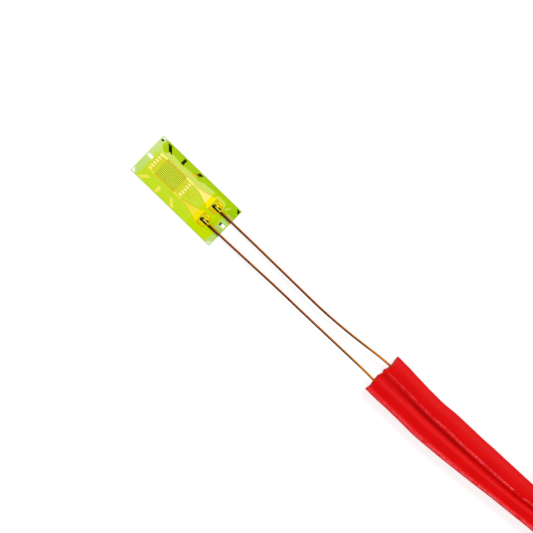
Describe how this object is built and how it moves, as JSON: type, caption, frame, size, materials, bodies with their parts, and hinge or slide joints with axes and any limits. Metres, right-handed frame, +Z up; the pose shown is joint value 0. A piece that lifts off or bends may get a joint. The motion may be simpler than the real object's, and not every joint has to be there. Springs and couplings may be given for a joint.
{
  "type": "foil strain gauge",
  "caption": "Flat foil strain gauge on a thin film backing, with solder tabs, two enamelled gauge leads and a coiled flat two-core lead cable.",
  "frame": {"origin": "centre of the measuring grid, on the bonding face under the backing film", "axes": "+X along the gauge axis from the grid towards the leads, +Y across the film, +Z up out of the bonding face"},
  "size_m": [0.0511, 0.0273, 0.0047],
  "materials": {
    "backing": "glossy yellow-green film",
    "cover": "clear glossy film",
    "foil": "etched bright foil",
    "solder": "bright solder",
    "copper": "drawn wire",
    "enamel": "clear orange-brown enamel",
    "tinned_strand": "tinned copper",
    "cable": "satin red vinyl",
    "tie": "white vinyl"
  },
  "bodies": {
    "root": {"base_film": "backing", "grid_foil": "foil", "centre_marks": "foil", "diagonal_marks": "foil", "corner_marks": "foil", "batch_mark": "foil", "cover_film": "cover", "left_solder_joint": "solder", "right_solder_joint": "solder", "left_lead_wire": "copper", "right_lead_wire": "copper", "left_lead_enamel": "enamel", "right_lead_enamel": "enamel", "left_splice": "solder", "right_splice": "solder", "left_strand": "tinned_strand", "right_strand": "tinned_strand", "cable_run": "cable", "cable_coil": "cable", "cable_tail": "cable", "left_tail_core": "cable", "right_tail_core": "cable", "left_tail_strand": "tinned_strand", "right_tail_strand": "tinned_strand", "coil_tie": "tie"}
  },
  "joints": []
}
